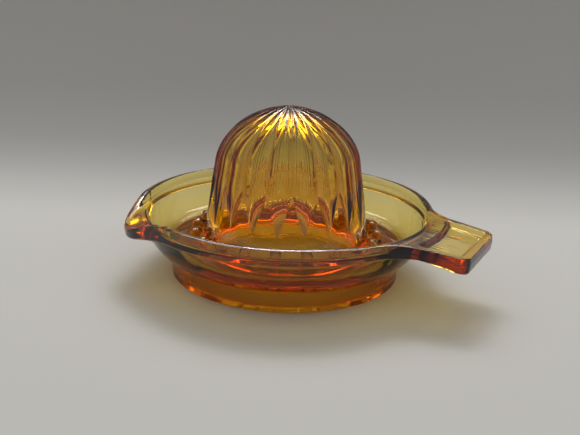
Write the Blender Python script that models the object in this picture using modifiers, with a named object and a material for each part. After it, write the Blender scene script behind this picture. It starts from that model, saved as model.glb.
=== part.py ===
"""Pressed glass citrus juicer, modelled in metres with +Z up.

The dish, spout, tab handle, foot ring, seed guards and fluted reaming dome are one
pressing of amber glass. The dome's axis is vertical, the handle points along +X, and
the foot stands on z = 0. The origin lies on the base plane, under the middle of the
whole outline, so the dome's axis is a little behind it.
"""
import math

import bmesh
import bpy

# Dish, from the axis of the dome
DISH_RADIUS = 0.0720
RIM_HEIGHT = 0.0350
RIM_WIDTH = 0.0028
RIM_EDGE = 0.0011
COLLAR_HEIGHT = 0.0070
SEAM_DROP = 0.0038
COLLAR_STEP = 0.0019
INNER_WALL_LOW = (0.12, 0.40)
INNER_WALL_HIGH = (0.35, 0.82)
LEDGE_WIDTH = 0.0040
LEDGE_DROP = 0.0045
FLOOR_HEIGHT = 0.0165
FLOOR_MARGIN = 0.0044
BOWL_BULGE = 0.25
OUTSIDE_ARC_STEPS = 8
INSIDE_ARC_STEPS = 7
DISH_STEPS = 96

# Broad foot ring under the dish
FOOT_MARGIN = 0.0089
FOOT_HEIGHT = 0.0098
FOOT_WIDTH = 0.0105
FOOT_DRAFT = 0.0003
FOOT_ROUNDING = 0.0007

# Spout, turned down and drawn out of the collar
SPOUT_ANGLE = math.radians(225.0)
SPOUT_OVERHANG = 0.0070
SPOUT_TIP_RADIUS = 0.0260
SPOUT_DIP = 0.0080
SPOUT_DIP_INSET = 0.0060
SPOUT_LIP_HEIGHT = 0.0040
SPOUT_SEAM_DROP = 0.0019
SPOUT_THROAT_WALL = 0.0060
SPOUT_DIP_POWER = 1.5
SPOUT_WALL_LOW = (0.45, 0.45)
SPOUT_WALL_HIGH = (0.85, 0.90)

# Tab handle along +X
HANDLE_LENGTH = 0.0260
HANDLE_NECK_WIDTH = 0.0480
HANDLE_END_WIDTH = 0.0424
HANDLE_NECK_OFFSET = 0.0065
HANDLE_ROOT_FILLET = 0.0200
HANDLE_CORNER = 0.0050
HANDLE_THICKNESS = 0.0061
HANDLE_FALL = math.radians(5.3)
HANDLE_UNDER_DROP = 0.0043
HANDLE_UNDER_POWER = 1.5
HANDLE_UNDER_STEPS = 6
HANDLE_ROOT_LENGTH = 0.0130
HANDLE_BITE = 0.0014
RIM_DIP_AT_HANDLE = 0.0020
RIM_DIP_BLEND = 0.0006
COLLAR_DIP_SHARE = 0.4

# Thumb recess in the top of the handle
RECESS_MARGIN = 0.0055
RECESS_LIP = 0.0034
RECESS_DRAFT = 0.0020
RECESS_DEPTH = 0.0019
RECESS_END_STEPS = 6
SMALLEST_CORNER = 0.0010

# Reaming dome
DOME_BASE_RADIUS = 0.0407
DOME_SHOULDER_RADIUS = 0.0353
DOME_SHOULDER_HEIGHT = 0.0542
DOME_HEIGHT = 0.0816
DOME_POINT = 0.0010
DOME_APEX_RADIUS = 0.0008
FLUTES = 20
FLUTE_PHASE = math.radians(4.5)
FLUTE_DEPTH = 0.0021
FLUTE_TIP_HEIGHT = 0.0277
FLUTE_CUSP_HEIGHT = 0.0475
FLUTE_RUN_OUT_POWER = 1.6
RUN_OUT_RINGS = 6
DOME_TOP_RINGS = 8

# Hollow under the dome and the floor
DOME_WALL = 0.0056
DOME_CROWN = 0.0065
FLOOR_THICKNESS = 0.0060
HOLLOW_MOUTH_ROUNDING = 0.0015
FOOT_INNER_FILLET = 0.0026
FOOT_INNER_DRAFT = 0.0004
HOLLOW_STEPS = 48
HOLLOW_CAP_STEPS = 7

# Seed guards round the dome's foot
GUARD_GAP = 0.0013
GUARD_RADIUS = 0.0028
GUARD_TOP_RADIUS = 0.0025
GUARD_HEIGHT = 0.0060
GUARD_ROUNDING = 0.0013
GUARD_SIDES = 10

# Radii and reaches from the dome's axis, worked out from the sizes above
GUARD_CIRCLE_RADIUS = DOME_BASE_RADIUS + GUARD_GAP + GUARD_RADIUS
FOOT_RADIUS = GUARD_CIRCLE_RADIUS + GUARD_RADIUS + FOOT_MARGIN
FLOOR_RADIUS = GUARD_CIRCLE_RADIUS + GUARD_RADIUS + FLOOR_MARGIN
LEDGE_RADIUS = DISH_RADIUS - LEDGE_WIDTH
SPOUT_REACH = DISH_RADIUS + SPOUT_OVERHANG
SPOUT_DIP_START = DISH_RADIUS - SPOUT_DIP_INSET
HANDLE_NECK = DISH_RADIUS + HANDLE_NECK_OFFSET
HANDLE_REACH = DISH_RADIUS + HANDLE_LENGTH
RECESS_START = DISH_RADIUS + RECESS_MARGIN

# How far a blank runs into its neighbour, so that the union has no touching faces
OVERLAP = 0.0015
MERGE = 0.00001
SHARP_ANGLE = math.radians(35.0)

# Middle of the outline along X, measured from the dome's axis
AXIS_OFFSET = (HANDLE_REACH - DISH_RADIUS) / 2.0

AMBER = (0.62, 0.30, 0.03, 1.0)


def clear_scene():
    for old in list(bpy.data.objects):
        bpy.data.objects.remove(old, do_unlink=True)


def new_collection(name):
    collection = bpy.data.collections.new(name)
    bpy.context.scene.collection.children.link(collection)
    return collection


def mix(first, second, share):
    return first + (second - first) * share


def soft_min(first, second, blend):
    """The smaller of two values, with the corner between them rounded."""
    share = min(1.0, max(0.0, 0.5 + 0.5 * (second - first) / blend))
    return mix(second, first, share) - blend * share * (1.0 - share)


def arc(centre_r, centre_z, radius, start, end, count):
    """Points on a circular arc in the r-z plane, with both ends."""
    points = []
    for step in range(count + 1):
        angle = math.radians(mix(start, end, step / count))
        points.append((centre_r + radius * math.cos(angle), centre_z + radius * math.sin(angle)))
    return points


def mesh_object(name, mesh, collection):
    obj = bpy.data.objects.new(name, mesh)
    collection.objects.link(obj)
    return obj


def as_guide(obj):
    obj.hide_render = True
    obj.display_type = "WIRE"
    return obj


def turned_object(name, profile, steps, collection):
    """Turn an r-z profile, listed from the top down its outer side, about Z."""
    mesh = bpy.data.meshes.new(name)
    vertices = [(r, 0.0, z) for r, z in profile]
    edges = [(i, i + 1) for i in range(len(profile) - 1)]
    mesh.from_pydata(vertices, edges, [])
    obj = mesh_object(name, mesh, collection)
    screw = obj.modifiers.new("turn", "SCREW")
    screw.axis = "Z"
    screw.steps = steps
    screw.render_steps = steps
    screw.use_merge_vertices = True
    screw.merge_threshold = MERGE
    return obj


def lofted_object(name, rings, closed_round, collection):
    """Skin rings that have equal numbers of points; equal points are merged."""
    build = bmesh.new()
    grid = [[build.verts.new(point) for point in ring] for ring in rings]
    count = len(rings[0])
    last = len(rings) if closed_round else len(rings) - 1
    for i in range(last):
        lower = grid[i]
        upper = grid[(i + 1) % len(rings)]
        for j in range(count):
            k = (j + 1) % count
            build.faces.new((lower[j], lower[k], upper[k], upper[j]))
    if not closed_round:
        build.faces.new(list(reversed(grid[0])))
        build.faces.new(grid[-1])
    bmesh.ops.remove_doubles(build, verts=build.verts, dist=MERGE)
    bmesh.ops.recalc_face_normals(build, faces=build.faces)
    mesh = bpy.data.meshes.new(name)
    build.to_mesh(mesh)
    build.free()
    mesh.shade_smooth()
    mesh.set_sharp_from_angle(angle=SHARP_ANGLE)
    return mesh_object(name, mesh, collection)


def add_boolean(obj, tool, operation):
    boolean = obj.modifiers.new(tool.name, "BOOLEAN")
    boolean.operation = operation
    boolean.solver = "EXACT"
    boolean.object = tool


def foot_inner_radius():
    return FOOT_RADIUS - FOOT_WIDTH


def bowl_outer_arc():
    """The dish's outside, an arc from the foot ring up to the collar."""
    foot = (FOOT_RADIUS, FOOT_HEIGHT)
    collar = (DISH_RADIUS - COLLAR_STEP - RIM_EDGE / 2.0, RIM_HEIGHT - COLLAR_HEIGHT)
    half = math.dist(foot, collar) / 2.0
    bulge = half * BOWL_BULGE
    radius = (half ** 2 + bulge ** 2) / (2.0 * bulge)
    rise = radius - bulge
    middle = ((foot[0] + collar[0]) / 2.0, (foot[1] + collar[1]) / 2.0)
    along = ((collar[0] - foot[0]) / (2.0 * half), (collar[1] - foot[1]) / (2.0 * half))
    centre = (middle[0] - along[1] * rise, middle[1] + along[0] * rise)
    start = math.degrees(math.atan2(collar[1] - centre[1], collar[0] - centre[0]))
    end = math.degrees(math.atan2(foot[1] - centre[1], foot[0] - centre[0]))
    return arc(centre[0], centre[1], radius, start, end, OUTSIDE_ARC_STEPS)


def bowl_inner_arc():
    """The dish's inside, an arc from the flat floor up to the ledge."""
    run = LEDGE_RADIUS - FLOOR_RADIUS
    rise = RIM_HEIGHT - LEDGE_DROP - FLOOR_HEIGHT
    radius = (run ** 2 + rise ** 2) / (2.0 * rise)
    radius = max(radius, run)
    centre_z = FLOOR_HEIGHT + radius
    end = math.degrees(math.atan2(FLOOR_HEIGHT + rise - centre_z, run))
    return arc(FLOOR_RADIUS, centre_z, radius, -90.0, end, INSIDE_ARC_STEPS)


def dish_blank(collection):
    """Floor, bowl wall, ledge and foot, turned solid; the hollow is cut later."""
    ledge_height = RIM_HEIGHT - LEDGE_DROP
    wall_radius = DISH_RADIUS - RIM_WIDTH + RIM_EDGE
    outside = bowl_outer_arc()
    profile = [(0.0, FLOOR_HEIGHT), (DOME_BASE_RADIUS / 2.0, FLOOR_HEIGHT)]
    profile += bowl_inner_arc()
    profile += [(wall_radius, ledge_height)]
    profile += outside
    profile += [
        (FOOT_RADIUS - FOOT_DRAFT, FOOT_ROUNDING * 2.0),
        (FOOT_RADIUS - FOOT_DRAFT - FOOT_ROUNDING, 0.0),
        (foot_inner_radius() / 2.0, 0.0),
        (0.0, 0.0),
    ]
    return turned_object("juicer_body", profile, DISH_STEPS, collection)


def spout_offset(angle):
    return (angle - SPOUT_ANGLE + math.pi) % (2.0 * math.pi) - math.pi


def lip_radius(angle):
    """Outline of the rim: the dish's circle with a rounded tip joined by tangents."""
    centre = SPOUT_REACH - SPOUT_TIP_RADIUS
    tangent = math.acos((DISH_RADIUS - SPOUT_TIP_RADIUS) / centre)
    turn = abs(spout_offset(angle))
    tip_end = math.atan2(
        SPOUT_TIP_RADIUS * math.sin(tangent),
        centre + SPOUT_TIP_RADIUS * math.cos(tangent),
    )
    if turn >= tangent:
        return DISH_RADIUS
    if turn >= tip_end:
        return DISH_RADIUS / math.cos(tangent - turn)
    across = centre * math.sin(turn)
    return centre * math.cos(turn) + math.sqrt(SPOUT_TIP_RADIUS ** 2 - across ** 2)


def spout_share(angle):
    """0 on the plain rim and 1 at the tip of the spout."""
    turn = spout_offset(angle)
    if abs(turn) > math.pi / 2.0:
        return 0.0
    reach = lip_radius(angle) * math.cos(turn)
    share = (reach - SPOUT_DIP_START) / (SPOUT_REACH - SPOUT_DIP_START)
    return min(1.0, max(0.0, share)) ** SPOUT_DIP_POWER


def handle_top(reach):
    """Height of the handle's top, a plane that falls away from the dish."""
    start = RIM_HEIGHT - RIM_DIP_AT_HANDLE
    return start - (reach - DISH_RADIUS) * math.tan(HANDLE_FALL)


def rim_dip(angle):
    """How far the rim sinks to meet the handle's top, just under its plane."""
    meeting = handle_top(DISH_RADIUS * math.cos(angle))
    return RIM_HEIGHT - soft_min(RIM_HEIGHT, meeting, RIM_DIP_BLEND)


def wall_point(foot, crest, spout, plain_shares, spout_shares):
    """A point of the rim's inner wall, by its shares of the way across and up."""
    across = mix(plain_shares[0], spout_shares[0], spout)
    up = mix(plain_shares[1], spout_shares[1], spout)
    return mix(foot[0], crest[0], across), mix(foot[1], crest[1], up)


def rim_section(angle):
    """The collar's cross-section at one angle, as r-z points round the loop."""
    spout = spout_share(angle)
    outer = lip_radius(angle)
    dip = rim_dip(angle)
    top = RIM_HEIGHT - SPOUT_DIP * spout - dip
    seam = top - mix(SEAM_DROP, SPOUT_SEAM_DROP, spout)
    bottom = top + dip * (1.0 - COLLAR_DIP_SHARE) - mix(COLLAR_HEIGHT, SPOUT_LIP_HEIGHT, spout)
    ledge = RIM_HEIGHT - LEDGE_DROP
    inner = DISH_RADIUS - RIM_WIDTH
    crest = (outer - RIM_EDGE, top)
    foot = (mix(inner, inner + RIM_EDGE / 2.0, spout), mix(ledge + RIM_EDGE / 3.0, ledge, spout))
    back = (
        mix(inner - RIM_EDGE / 2.0, LEDGE_RADIUS - SPOUT_THROAT_WALL, spout),
        mix(bottom, FLOOR_HEIGHT + OVERLAP, spout),
    )
    return [
        (inner, ledge - OVERLAP),
        foot,
        wall_point(foot, crest, spout, INNER_WALL_LOW, SPOUT_WALL_LOW),
        wall_point(foot, crest, spout, INNER_WALL_HIGH, SPOUT_WALL_HIGH),
        crest,
        (outer - RIM_EDGE / 4.0, top - RIM_EDGE),
        (outer, seam),
        (outer - RIM_EDGE / 3.0, bottom),
        (outer - COLLAR_STEP, bottom - RIM_EDGE),
        back,
    ]


def rim_blank(collection):
    """The collar round the dish, with the spout drawn out of it, as a closed loft."""
    rings = []
    for step in range(DISH_STEPS):
        angle = 2.0 * math.pi * step / DISH_STEPS
        section = rim_section(angle)
        rings.append([(r * math.cos(angle), r * math.sin(angle), z) for r, z in section])
    return as_guide(lofted_object("rim_blank", rings, True, collection))


def corner_points(corner, before, after, radius, count):
    """Round one corner of an outline with an arc that is tangent to both sides."""
    first = math.atan2(before[1] - corner[1], before[0] - corner[0])
    second = math.atan2(after[1] - corner[1], after[0] - corner[0])
    opening = (second - first) % (2.0 * math.pi)
    if opening > math.pi:
        opening -= 2.0 * math.pi
    half = opening / 2.0
    reach = radius / abs(math.sin(half))
    middle = first + half
    centre = (corner[0] + reach * math.cos(middle), corner[1] + reach * math.sin(middle))
    start = first - math.copysign(math.pi / 2.0, half)
    sweep = math.copysign(math.pi, half) - opening
    points = []
    for step in range(count + 1):
        angle = start - sweep * step / count
        points.append((centre[0] + radius * math.cos(angle), centre[1] + radius * math.sin(angle)))
    return points


def handle_half_width(reach):
    """Half the width between the handle's straight side lines."""
    share = (reach - HANDLE_NECK) / (HANDLE_REACH - HANDLE_NECK)
    return mix(HANDLE_NECK_WIDTH, HANDLE_END_WIDTH, share) / 2.0


def root_fillet(inset):
    """Hollow curve from the rim's circle to the handle's near side line."""
    rim = DISH_RADIUS - RIM_EDGE / 2.0 - inset
    radius = HANDLE_ROOT_FILLET + inset
    lean = math.atan2(HANDLE_NECK_WIDTH - HANDLE_END_WIDTH, 2.0 * (HANDLE_REACH - HANDLE_NECK))
    reach = HANDLE_NECK
    for _ in range(20):
        across = handle_half_width(reach) - inset / math.cos(lean) + radius / math.cos(lean)
        reach = math.sqrt((rim + radius) ** 2 - across ** 2)
    start = math.degrees(math.atan2(across, -reach))
    end = 90.0 + math.degrees(lean)
    sweep = arc(reach, -across, radius, start, end, 5)
    share = (rim - RIM_WIDTH) / rim
    return [(sweep[0][0] * share, sweep[0][1] * share)] + sweep


def handle_outline(inset):
    """Plan of the handle, anticlockwise, its side and end lines moved in by inset."""
    near_side = root_fillet(inset)
    end = HANDLE_REACH - inset
    end_half = handle_half_width(end) - inset
    corner = (end, -end_half)
    radius = max(HANDLE_CORNER - inset, SMALLEST_CORNER)
    near_side += corner_points(corner, near_side[-1], (end, end_half), radius, 4)
    far_side = [(x, -y) for x, y in reversed(near_side)]
    return near_side + far_side


def prism(name, outline, low, high, collection):
    rings = []
    for height in (low, high):
        rings.append([(x, y, height) for x, y in outline])
    return as_guide(lofted_object(name, rings, False, collection))


def handle_elevation():
    """Side view of the handle: a falling top and an underside that curves down."""
    inner = DISH_RADIUS - HANDLE_ROOT_LENGTH
    outer = HANDLE_REACH + OVERLAP
    under = handle_top(DISH_RADIUS) - HANDLE_THICKNESS
    points = [(inner, handle_top(inner)), (outer, handle_top(outer))]
    for step in range(HANDLE_UNDER_STEPS + 1):
        share = 1.0 - step / HANDLE_UNDER_STEPS
        reach = mix(HANDLE_NECK, outer, share)
        points.append((reach, under - HANDLE_UNDER_DROP * share ** HANDLE_UNDER_POWER))
    points.append((inner, under))
    return points


def handle_blank(collection):
    """Plan and elevation of the handle, crossed, and kept out of the bowl."""
    handle = prism("handle_plan", handle_outline(0.0), 0.0, RIM_HEIGHT * 2.0, collection)
    rings = []
    for side in (-DISH_RADIUS, DISH_RADIUS):
        rings.append([(x, side, z) for x, z in handle_elevation()])
    elevation = as_guide(lofted_object("handle_elevation", rings, False, collection))
    add_boolean(handle, elevation, "INTERSECT")
    limit = DISH_RADIUS - HANDLE_BITE
    profile = [(0.0, DOME_HEIGHT), (limit, DOME_HEIGHT), (limit, -OVERLAP), (0.0, -OVERLAP)]
    inside = as_guide(turned_object("handle_inner_limit", profile, DISH_STEPS, collection))
    add_boolean(handle, inside, "DIFFERENCE")
    return handle


def recess_outline(inset):
    """Plan of the thumb recess: the handle's outline moved in, closed by an arc."""
    start = RECESS_START + inset - RECESS_LIP
    side = [(x, y) for x, y in handle_outline(inset) if x > HANDLE_NECK and y < 0.0]
    half = handle_half_width(HANDLE_NECK) - inset
    inner = []
    for step in range(RECESS_END_STEPS + 1):
        angle = math.asin(half / start) * (1.0 - 2.0 * step / RECESS_END_STEPS)
        inner.append((start * math.cos(angle), start * math.sin(angle)))
    return side + [(x, -y) for x, y in reversed(side)] + inner


def recess_cutter(collection):
    """A drafted pocket whose floor lies parallel to the handle's top."""
    top_inset = RECESS_LIP
    floor_inset = RECESS_LIP + RECESS_DRAFT
    above = 2.0 * RECESS_DEPTH
    draft = RECESS_DRAFT / RECESS_DEPTH
    levels = ((floor_inset, -RECESS_DEPTH), (top_inset - draft * above, above))
    rings = []
    for inset, height in levels:
        rings.append([(x, y, handle_top(x) + height) for x, y in recess_outline(inset)])
    return as_guide(lofted_object("thumb_recess", rings, False, collection))


def dome_outline():
    """The dome's ridge line as r-z points, from the shoulder up to the apex."""
    slope = (DOME_BASE_RADIUS - DOME_SHOULDER_RADIUS) / (DOME_SHOULDER_HEIGHT - FLOOR_HEIGHT)
    cap = DOME_HEIGHT - DOME_POINT - DOME_SHOULDER_HEIGHT
    start = math.atan(slope * cap / DOME_SHOULDER_RADIUS)
    radius = DOME_SHOULDER_RADIUS / math.cos(start)
    rise = cap / (1.0 - math.sin(start))
    centre = DOME_SHOULDER_HEIGHT - rise * math.sin(start)
    points = []
    for step in range(DOME_TOP_RINGS + 1):
        angle = mix(start, math.pi / 2.0, step / DOME_TOP_RINGS)
        reach = radius * math.cos(angle)
        point = DOME_POINT * (1.0 - reach / radius) ** 3
        points.append((reach, centre + rise * math.sin(angle) + point))
    return points


def cone_radius(height):
    share = (height - FLOOR_HEIGHT) / (DOME_SHOULDER_HEIGHT - FLOOR_HEIGHT)
    return mix(DOME_BASE_RADIUS, DOME_SHOULDER_RADIUS, share)


def flute_depth(radius, height):
    """Depth of a flute's middle, from nothing at its tip to full at the shoulder."""
    share = (height - FLUTE_TIP_HEIGHT) / (DOME_SHOULDER_HEIGHT - FLUTE_TIP_HEIGHT)
    share = min(1.0, max(0.0, share))
    deepening = 1.0 - (1.0 - share) ** FLUTE_RUN_OUT_POWER
    return FLUTE_DEPTH * deepening * radius / DOME_SHOULDER_RADIUS


def fluted_ring(radius, height, opening):
    """One ring of the dome: opening is 0 on the plain band and 1 on full flutes."""
    half_pitch = math.pi / FLUTES
    depth = flute_depth(radius, height)
    ring = []
    for flute in range(FLUTES):
        middle = FLUTE_PHASE + 2.0 * half_pitch * flute
        for place in (-1.0, -opening, -0.5 * opening, 0.0, 0.5 * opening, opening):
            across = min(1.0, abs(place) / opening) if opening > 0.0 else 1.0
            reach = radius - depth * (1.0 - across ** 2)
            angle = middle + place * half_pitch
            ring.append((reach * math.cos(angle), reach * math.sin(angle), height))
    return ring


def dome_blank(collection):
    """The fluted dome: each flute runs out in a point on the plain base band."""
    foot = FLOOR_HEIGHT - OVERLAP
    rings = [fluted_ring(cone_radius(foot), foot, 0.0)]
    for step in range(RUN_OUT_RINGS + 1):
        opening = step / RUN_OUT_RINGS
        height = mix(FLUTE_TIP_HEIGHT, FLUTE_CUSP_HEIGHT, opening)
        rings.append(fluted_ring(cone_radius(height), height, opening))
    middle = (FLUTE_CUSP_HEIGHT + DOME_SHOULDER_HEIGHT) / 2.0
    rings.append(fluted_ring(cone_radius(middle), middle, 1.0))
    for radius, height in dome_outline()[:-1]:
        rings.append(fluted_ring(radius, height, 1.0))
    rings.append(fluted_ring(DOME_APEX_RADIUS, dome_outline()[-1][1], 1.0))
    return as_guide(lofted_object("fluted_dome", rings, False, collection))


def seed_guards(collection):
    """A ring of rounded pegs on the floor, one at the foot of each flute."""
    build = bmesh.new()
    for guard in range(FLUTES):
        angle = FLUTE_PHASE + 2.0 * math.pi * guard / FLUTES
        made = bmesh.ops.create_cone(
            build,
            cap_ends=True,
            segments=GUARD_SIDES,
            radius1=GUARD_RADIUS,
            radius2=GUARD_TOP_RADIUS,
            depth=GUARD_HEIGHT + OVERLAP,
        )
        place = (
            GUARD_CIRCLE_RADIUS * math.cos(angle),
            GUARD_CIRCLE_RADIUS * math.sin(angle),
            FLOOR_HEIGHT + (GUARD_HEIGHT - OVERLAP) / 2.0,
        )
        bmesh.ops.translate(build, verts=made["verts"], vec=place)
    mesh = bpy.data.meshes.new("seed_guards")
    build.to_mesh(mesh)
    build.free()
    guards = as_guide(mesh_object("seed_guards", mesh, collection))
    rounding = guards.modifiers.new("round_tops", "BEVEL")
    rounding.width = GUARD_ROUNDING
    rounding.segments = 2
    rounding.limit_method = "ANGLE"
    rounding.angle_limit = math.radians(60.0)
    return guards


def hollow_cutter(collection):
    """The plunger's shape: the hollow dome, the recess under the floor, the open foot."""
    crown = DOME_HEIGHT - DOME_CROWN
    rise = crown - DOME_SHOULDER_HEIGHT
    profile = [(0.0, crown)]
    for step in range(1, HOLLOW_CAP_STEPS + 1):
        angle = math.pi / 2.0 * (1.0 - step / HOLLOW_CAP_STEPS)
        radius = (DOME_SHOULDER_RADIUS - DOME_WALL) * math.cos(angle)
        profile.append((radius, DOME_SHOULDER_HEIGHT + rise * math.sin(angle)))
    under = FLOOR_HEIGHT - FLOOR_THICKNESS
    mouth = cone_radius(under) - DOME_WALL
    foot = foot_inner_radius() - FOOT_INNER_DRAFT
    profile += [
        (mouth, under + HOLLOW_MOUTH_ROUNDING),
        (mouth + HOLLOW_MOUTH_ROUNDING, under),
        (foot - FOOT_INNER_FILLET, under),
        (foot, under - FOOT_INNER_FILLET),
        (foot_inner_radius(), 0.0),
        (foot_inner_radius(), -OVERLAP),
        (0.0, -OVERLAP),
    ]
    return as_guide(turned_object("hollow_cutter", profile, HOLLOW_STEPS, collection))


def amber_glass():
    material = bpy.data.materials.new("amber_glass")
    material.use_nodes = True
    shader = material.node_tree.nodes["Principled BSDF"]
    shader.inputs["Base Color"].default_value = AMBER
    shader.inputs["Roughness"].default_value = 0.05
    shader.inputs["Metallic"].default_value = 0.0
    shader.inputs["IOR"].default_value = 1.52
    shader.inputs["Transmission Weight"].default_value = 1.0
    return material


def build_juicer():
    clear_scene()
    parts = new_collection("glass_citrus_juicer")
    guides = new_collection("cutters")
    body = dish_blank(parts)
    for blank in (rim_blank(guides), handle_blank(guides), dome_blank(guides), seed_guards(guides)):
        add_boolean(body, blank, "UNION")
    for cutter in (recess_cutter(guides), hollow_cutter(guides)):
        add_boolean(body, cutter, "DIFFERENCE")
    body.data.materials.append(amber_glass())
    body.location.x = -AXIS_OFFSET
    for guide in guides.objects:
        guide.location.x = -AXIS_OFFSET


build_juicer()
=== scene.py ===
"""Looks of the pressed-glass citrus juicer: one smooth closed body of amber glass.

Shapes are worked out in millimetres from the dome's axis, with +X along the handle and the
foot on z = 0, and are moved into the frame at the end. The floor and lamps are in metres.
"""

import math

import bmesh
import bpy
import numpy as np
from mathutils import Matrix, Vector


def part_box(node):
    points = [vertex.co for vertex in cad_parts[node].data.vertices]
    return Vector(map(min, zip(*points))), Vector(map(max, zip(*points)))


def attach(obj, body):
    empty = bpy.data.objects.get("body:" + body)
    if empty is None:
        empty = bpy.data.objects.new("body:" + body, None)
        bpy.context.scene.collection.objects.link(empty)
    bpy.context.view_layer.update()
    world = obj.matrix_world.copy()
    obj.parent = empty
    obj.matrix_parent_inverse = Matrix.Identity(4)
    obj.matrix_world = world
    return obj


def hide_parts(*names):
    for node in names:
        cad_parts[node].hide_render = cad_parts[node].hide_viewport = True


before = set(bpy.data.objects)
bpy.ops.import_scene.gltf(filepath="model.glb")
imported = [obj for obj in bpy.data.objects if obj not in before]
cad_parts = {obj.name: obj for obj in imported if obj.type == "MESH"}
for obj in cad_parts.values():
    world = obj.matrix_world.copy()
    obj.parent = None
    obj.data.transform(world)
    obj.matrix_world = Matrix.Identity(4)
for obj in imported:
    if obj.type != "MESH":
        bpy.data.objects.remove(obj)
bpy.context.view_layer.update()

MM = 0.001
NODE = "juicer_body"
PIECE = "amber_glass_body"
LOW, HIGH = (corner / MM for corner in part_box(NODE))

# Sizes that the frame gives
DISH_RADIUS = HIGH.y
AXIS_X = LOW.x + DISH_RADIUS
HANDLE_REACH = HIGH.x - AXIS_X
DOME_HEIGHT = HIGH.z

# Rim: a wide land that tilts outward, then a small edge
RIM_HEIGHT = 35.0
RIM_LAND = 2.3
RIM_LAND_TILT = math.radians(22.0)
RIM_LAND_ROWS = 7
RIM_EDGE = 0.5
RIM_EDGE_ROWS = 8

# Collar, with the moulding seam round it; shares are of its height
COLLAR_DRAFT = 0.25
COLLAR_BELOW_SEAM = 0.37
COLLAR_STEP = 1.9
COLLAR_UNDER = 1.1
COLLAR_THICKNESS = 8.1
COLLAR_SHARES_ABOVE_SEAM = (0.25, 0.5, 0.75, 0.9)
COLLAR_SHARES_BELOW_SEAM = (0.12, 0.3, 0.5, 0.7, 0.9)
COLLAR_TURNS = (0.0, 15.0, 30.0, 45.0, 60.0, 75.0, 90.0)
SEAM_SHARE = 0.453
SEAM_RIDGE = 0.05
SEAM_HALF_WIDTH = 0.22
# Rows across the seam: their place from edge to edge and their share of its ridge
SEAM_ROWS = ((-1.0, 0.0), (-0.5, 0.5), (0.0, 1.0), (0.5, 0.5), (1.0, 0.0))

# Bowl
LEDGE_RADIUS = DISH_RADIUS - 4.0
LEDGE_HEIGHT = 30.3
FLOOR_HEIGHT = 16.5
FLOOR_ROWS = 5
BOWL_TOP_RADIUS = DISH_RADIUS - 2.45
BOWL_TOP_HEIGHT = 28.0
BOWL_BULGE = 0.25
BOWL_FOOT_MARGIN = 0.45
# Inside of the bowl from the floor to the ledge, as radius and height
BOWL_WALL = [
    (54.6, FLOOR_HEIGHT), (56.6, FLOOR_HEIGHT + 0.04), (58.6, 16.83), (60.6, 17.75),
    (62.4, 19.35), (64.1, 21.65), (65.6, 24.4), (66.8, 27.3), (67.5, 28.95),
    (LEDGE_RADIUS, LEDGE_HEIGHT - 0.56),
]
BOWL_WALL_STEPS = 4
# From the ledge to the rim's crest, as shares of the way out and of the way up
PLAIN_LEDGE = [
    (0.0, -0.12), (0.1, -0.03), (0.22, 0.02), (0.5, 0.055), (0.6, 0.16),
    (0.64, 0.47), (0.7, 0.84), (0.8, 0.96), (1.0, 1.0),
]
SPOUT_LEDGE = [
    (0.0, -0.12), (0.08, -0.03), (0.19, 0.0), (0.30, 0.04), (0.46, 0.22),
    (0.64, 0.50), (0.81, 0.79), (0.91, 0.93), (1.0, 1.0),
]
LEDGE_STEPS = 3
# Rows down the bowl's outside, close together where the collar's underside runs into it
BOWL_OUTSIDE_SHARES = [0.0, 0.006, 0.015, 0.03, 0.05, 0.075] + list(np.linspace(0.1, 1.0, 28))

# Foot
FOOT_RADIUS = 56.2
FOOT_INNER_RADIUS = 46.0
FOOT_INNER_DRAFT = 0.5
FOOT_INNER_FILLET = 2.6
FOOT_HEIGHT = 9.8
FOOT_TOP_RADIUS = 56.5
# Section of the foot ring, down its outside and up its inside, as radius and height
FOOT_SECTION = [
    (FOOT_TOP_RADIUS + 0.12, FOOT_HEIGHT + 0.12), (FOOT_TOP_RADIUS - 0.1, FOOT_HEIGHT - 0.25),
    (FOOT_TOP_RADIUS - 0.12, FOOT_HEIGHT - 1.2),
    (FOOT_RADIUS, 2.4), (FOOT_RADIUS, 0.6), (FOOT_RADIUS - 0.09, 0.22),
    (FOOT_RADIUS - 0.3, 0.03), (FOOT_RADIUS - 0.7, 0.0), (FOOT_RADIUS - 1.5, 0.0),
    (FOOT_INNER_RADIUS + 1.0, 0.0), (FOOT_INNER_RADIUS + 0.3, 0.03),
    (FOOT_INNER_RADIUS + 0.09, 0.22), (FOOT_INNER_RADIUS, 0.6),
    (FOOT_INNER_RADIUS - 0.25, 5.0), (FOOT_INNER_RADIUS - FOOT_INNER_DRAFT, 7.9),
]
FOOT_STEPS = 3

# Spout
SPOUT_ANGLE = math.radians(225.0)
SPOUT_REACH = DISH_RADIUS + 7.0
SPOUT_TIP_RADIUS = 26.0
SPOUT_DIP = 8.0
SPOUT_DIP_START = DISH_RADIUS - 6.0
SPOUT_DIP_POWER = 1.5
SPOUT_THICKNESS = 5.1
SPOUT_SEAM_SHARE = 0.263
SPOUT_LIP_TILT = 0.4
SPOUT_UNDER_RUN = 3.87
SPOUT_UNDER_BLEND = 0.9

# Handle; its half angle is in degrees from the dome's axis
HANDLE_NECK = DISH_RADIUS + 6.5
HANDLE_NECK_WIDTH = 48.0
HANDLE_END_WIDTH = 42.4
HANDLE_ROOT_FILLET = 20.0
HANDLE_CORNER = 5.0
SMALLEST_CORNER = 0.6
HANDLE_FALL = math.tan(math.radians(5.3))
HANDLE_TOP_BLEND = 2.5
HANDLE_UNDER_DROP = 4.3
HANDLE_UNDER_POWER = 1.5
HANDLE_UNDER_END = HANDLE_REACH + 1.5
RIM_DIP_AT_HANDLE = 2.0
RIM_DIP_BLEND = 0.6
HANDLE_HALF_ANGLE = 30.0
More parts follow.
